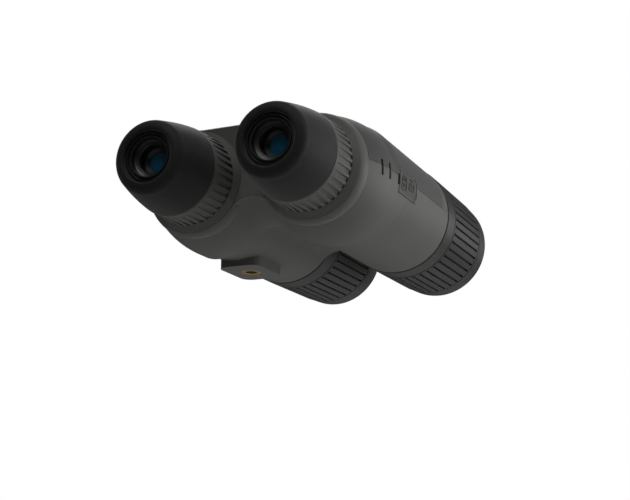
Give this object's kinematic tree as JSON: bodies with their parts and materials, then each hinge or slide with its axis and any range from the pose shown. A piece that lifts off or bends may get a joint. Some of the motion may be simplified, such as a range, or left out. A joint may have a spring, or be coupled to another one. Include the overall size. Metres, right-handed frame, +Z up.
{
  "type": "binoculars",
  "caption": "Hand-held digital binoculars: two ribbed focusing barrels in one moulded grey housing, soft eyecups, dioptre rings, a side port door and a top keypad.",
  "frame": {"origin": "centre of the bounding box in plan, on the plane of the tripod pad under the left barrel", "axes": "+X to the user's right, +Y the way the binoculars look, +Z up"},
  "size_m": [0.1302, 0.2346, 0.0665],
  "materials": {
    "housing_grey": "soft-touch satin, warm mid grey",
    "cover_dark": "soft-touch matt, dark grey",
    "ring_black": "satin, charcoal",
    "collar_grey": "painted dark grey, satin",
    "tube_black": "black anodised, matt",
    "dioptre_grey": "satin, ribbed",
    "eyecup_rubber": "matt with a soft sheen",
    "bezel_black": "satin",
    "seal_rubber": "matt",
    "cover_rubber": "matt",
    "key_rubber": "matt",
    "black_plastic": "fine texture",
    "objective_glass": "coated, clear",
    "eye_glass": "blue coating",
    "brass": "turned",
    "steel": "plain",
    "alloy": "machined",
    "lamp": "clear resin dome on a dark base",
    "board": "solder mask green",
    "display": "dark glass",
    "battery_sleeve": "printed sleeve, plain blue"
  },
  "bodies": {
    "housing": {"lower_housing": "housing_grey", "upper_housing": "housing_grey", "top_cover": "cover_dark", "tripod_bush": "brass", "housing_screws": "steel", "board_screws": "steel", "left_strap_socket": "black_plastic", "right_strap_socket": "black_plastic", "left_front_ring": "ring_black", "right_front_ring": "ring_black", "left_front_adapter": "ring_black", "right_front_adapter": "ring_black", "left_objective_tube": "tube_black", "right_objective_tube": "tube_black", "sensor_board": "board", "heat_sink": "alloy", "infrared_lamp": "lamp", "left_eyepiece_mount": "collar_grey", "right_eyepiece_mount": "collar_grey", "left_eyepiece_seal": "seal_rubber", "right_eyepiece_seal": "seal_rubber", "left_eyecup": "eyecup_rubber", "right_eyecup": "eyecup_rubber", "left_eye_bezel": "bezel_black", "right_eye_bezel": "bezel_black", "left_display": "display", "right_display": "display", "main_board": "board", "battery_cells": "battery_sleeve", "battery_holder": "black_plastic", "port_tether": "cover_rubber", "port_plate": "black_plastic", "usb_socket": "steel", "card_socket": "steel", "port_board": "board", "keypad_frame": "black_plastic", "keypad_board": "board"},
    "left_focus": {"left_focus_ring": "ring_black"},
    "left_objective": {"left_objective_cell": "tube_black", "left_objective_lens": "objective_glass"},
    "left_dioptre": {"left_dioptre_ring": "dioptre_grey"},
    "left_eye_lens_group": {"left_lens_cell": "tube_black", "left_eye_lens": "eye_glass", "left_field_lens": "eye_glass"},
    "right_focus": {"right_focus_ring": "ring_black"},
    "right_objective": {"right_objective_cell": "tube_black", "right_objective_lens": "objective_glass"},
    "right_dioptre": {"right_dioptre_ring": "dioptre_grey"},
    "right_eye_lens_group": {"right_lens_cell": "tube_black", "right_eye_lens": "eye_glass", "right_field_lens": "eye_glass"},
    "ok_key": {"ok_button": "key_rubber"},
    "up_key": {"up_button": "key_rubber"},
    "down_key": {"down_button": "key_rubber"},
    "left_key": {"left_button": "key_rubber"},
    "right_key": {"right_button": "key_rubber"},
    "power_key": {"power_button": "key_rubber"},
    "port_door": {"port_cover": "cover_rubber"}
  },
  "joints": [
    {"name": "left_focus_turn", "type": "hinge", "parent": "housing", "child": "left_focus", "pos_m": [-0.034, 0.078, 0.03408], "axis": [0, 1, 0], "range_deg": [-30, 240]},
    {"name": "left_objective_slide", "type": "slide", "parent": "housing", "child": "left_objective", "axis": [0, 1, 0], "range_m": [-0.00042, 0.00334]},
    {"name": "left_dioptre_turn", "type": "hinge", "parent": "housing", "child": "left_dioptre", "pos_m": [-0.03183, -0.0833, 0.0324], "axis": [0, 1, 0], "range_deg": [-120, 120]},
    {"name": "left_eye_lens_slide", "type": "slide", "parent": "housing", "child": "left_eye_lens_group", "axis": [0, 1, 0], "range_m": [-0.00134, 0.00134]},
    {"name": "right_focus_turn", "type": "hinge", "parent": "housing", "child": "right_focus", "pos_m": [0.034, 0.078, 0.03408], "axis": [0, 1, 0], "range_deg": [-30, 240]},
    {"name": "right_objective_slide", "type": "slide", "parent": "housing", "child": "right_objective", "axis": [0, 1, 0], "range_m": [-0.00042, 0.00334]},
    {"name": "right_dioptre_turn", "type": "hinge", "parent": "housing", "child": "right_dioptre", "pos_m": [0.03183, -0.0833, 0.0324], "axis": [0, 1, 0], "range_deg": [-120, 120]},
    {"name": "right_eye_lens_slide", "type": "slide", "parent": "housing", "child": "right_eye_lens_group", "axis": [0, 1, 0], "range_m": [-0.00134, 0.00134]},
    {"name": "ok_press", "type": "slide", "parent": "housing", "child": "ok_key", "axis": [0, 0, -1], "range_m": [0, 0.0005], "stiffness_N_per_m": 800},
    {"name": "up_press", "type": "slide", "parent": "housing", "child": "up_key", "axis": [0, 0, -1], "range_m": [0, 0.0005], "stiffness_N_per_m": 800},
    {"name": "down_press", "type": "slide", "parent": "housing", "child": "down_key", "axis": [0, 0, -1], "range_m": [0, 0.0005], "stiffness_N_per_m": 800},
    {"name": "left_press", "type": "slide", "parent": "housing", "child": "left_key", "axis": [0, 0, -1], "range_m": [0, 0.0005], "stiffness_N_per_m": 800},
    {"name": "right_press", "type": "slide", "parent": "housing", "child": "right_key", "axis": [0, 0, -1], "range_m": [0, 0.0005], "stiffness_N_per_m": 800},
    {"name": "power_press", "type": "slide", "parent": "housing", "child": "power_key", "axis": [0, 0, -1], "range_m": [0, 0.0005], "stiffness_N_per_m": 800},
    {"name": "port_hinge", "type": "hinge", "parent": "housing", "child": "port_door", "pos_m": [0.0648, -0.01295, 0.03208], "axis": [0, 0, 1], "range_deg": [0, 100]}
  ],
  "couplings": [
    {"joint": "left_objective_slide", "follows": "left_focus_turn", "m_per_rad": 0.00079577},
    {"joint": "left_eye_lens_slide", "follows": "left_dioptre_turn", "m_per_rad": 0.00063662},
    {"joint": "right_objective_slide", "follows": "right_focus_turn", "m_per_rad": 0.00079577},
    {"joint": "right_eye_lens_slide", "follows": "right_dioptre_turn", "m_per_rad": 0.00063662}
  ]
}
